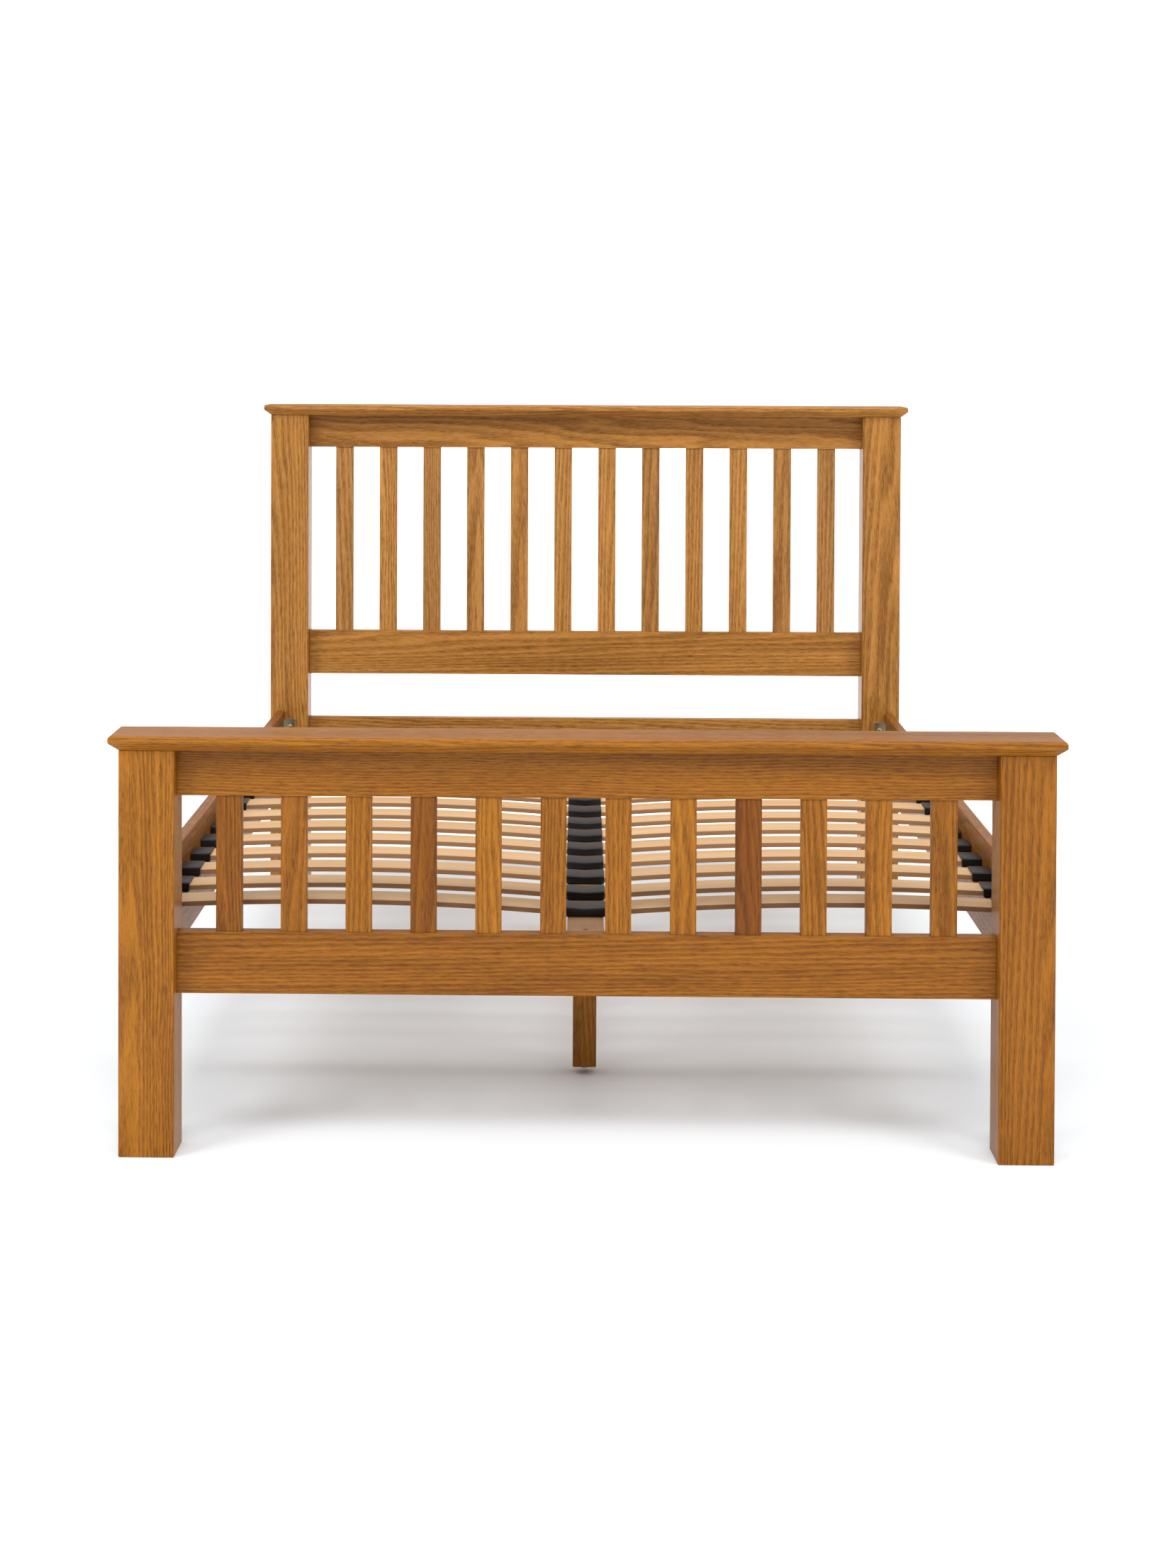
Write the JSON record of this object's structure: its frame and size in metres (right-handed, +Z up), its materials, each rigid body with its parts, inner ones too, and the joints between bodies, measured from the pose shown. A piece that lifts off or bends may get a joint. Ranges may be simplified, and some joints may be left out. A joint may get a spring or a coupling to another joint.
{
  "type": "bed frame",
  "caption": "Wooden double bed frame with a tall slatted headboard, a low slatted footboard, side rails and a sprung base of bowed laths.",
  "frame": {"origin": "on the floor, under the middle of the outline of the two caps", "axes": "+Y from the footboard to the headboard, +Z up, +X to the right as seen from the foot"},
  "size_m": [1.53, 2.125, 1.1553],
  "materials": {
    "oak": "satin lacquered oak",
    "beech": "sanded pale beech",
    "zinc_steel": "bright zinc-plated folded steel",
    "black_plastic": "matt black moulded"
  },
  "bodies": {
    "frame": {"foot_post_left": "oak", "foot_post_right": "oak", "foot_top_rail": "oak", "foot_bottom_rail": "oak", "foot_slat_01": "oak", "foot_slat_02": "oak", "foot_slat_03": "oak", "foot_slat_04": "oak", "foot_slat_05": "oak", "foot_slat_06": "oak", "foot_slat_07": "oak", "foot_slat_08": "oak", "foot_slat_09": "oak", "foot_slat_10": "oak", "foot_slat_11": "oak", "foot_slat_12": "oak", "foot_cap": "oak", "head_post_left": "oak", "head_post_right": "oak", "head_top_rail": "oak", "head_middle_rail": "oak", "head_low_rail": "oak", "head_slat_01": "oak", "head_slat_02": "oak", "head_slat_03": "oak", "head_slat_04": "oak", "head_slat_05": "oak", "head_slat_06": "oak", "head_slat_07": "oak", "head_slat_08": "oak", "head_slat_09": "oak", "head_slat_10": "oak", "head_slat_11": "oak", "head_slat_12": "oak", "head_cap": "oak", "side_rail_left": "oak", "side_rail_right": "oak", "foot_bracket_left": "zinc_steel", "foot_bracket_right": "zinc_steel", "head_bracket_left": "zinc_steel", "head_bracket_right": "zinc_steel", "centre_rail": "beech", "lath_row_01": "beech", "lath_row_02": "beech", "lath_row_03": "beech", "lath_row_04": "beech", "lath_row_05": "beech", "lath_row_06": "beech", "lath_row_07": "beech", "lath_row_08": "beech", "lath_row_09": "beech", "lath_row_10": "beech", "lath_row_11": "beech", "lath_row_12": "beech", "lath_row_13": "beech", "lath_row_14": "beech", "lath_row_15": "beech"},
    "front_foot": {"front_levelling_foot": "black_plastic"},
    "rear_foot": {"rear_levelling_foot": "black_plastic"}
  },
  "joints": [
    {"name": "front_foot_screw", "type": "slide", "parent": "frame", "child": "front_foot", "axis": [0, 0, -1], "range_m": [0, 0.01]},
    {"name": "rear_foot_screw", "type": "slide", "parent": "frame", "child": "rear_foot", "axis": [0, 0, -1], "range_m": [0, 0.01]}
  ]
}
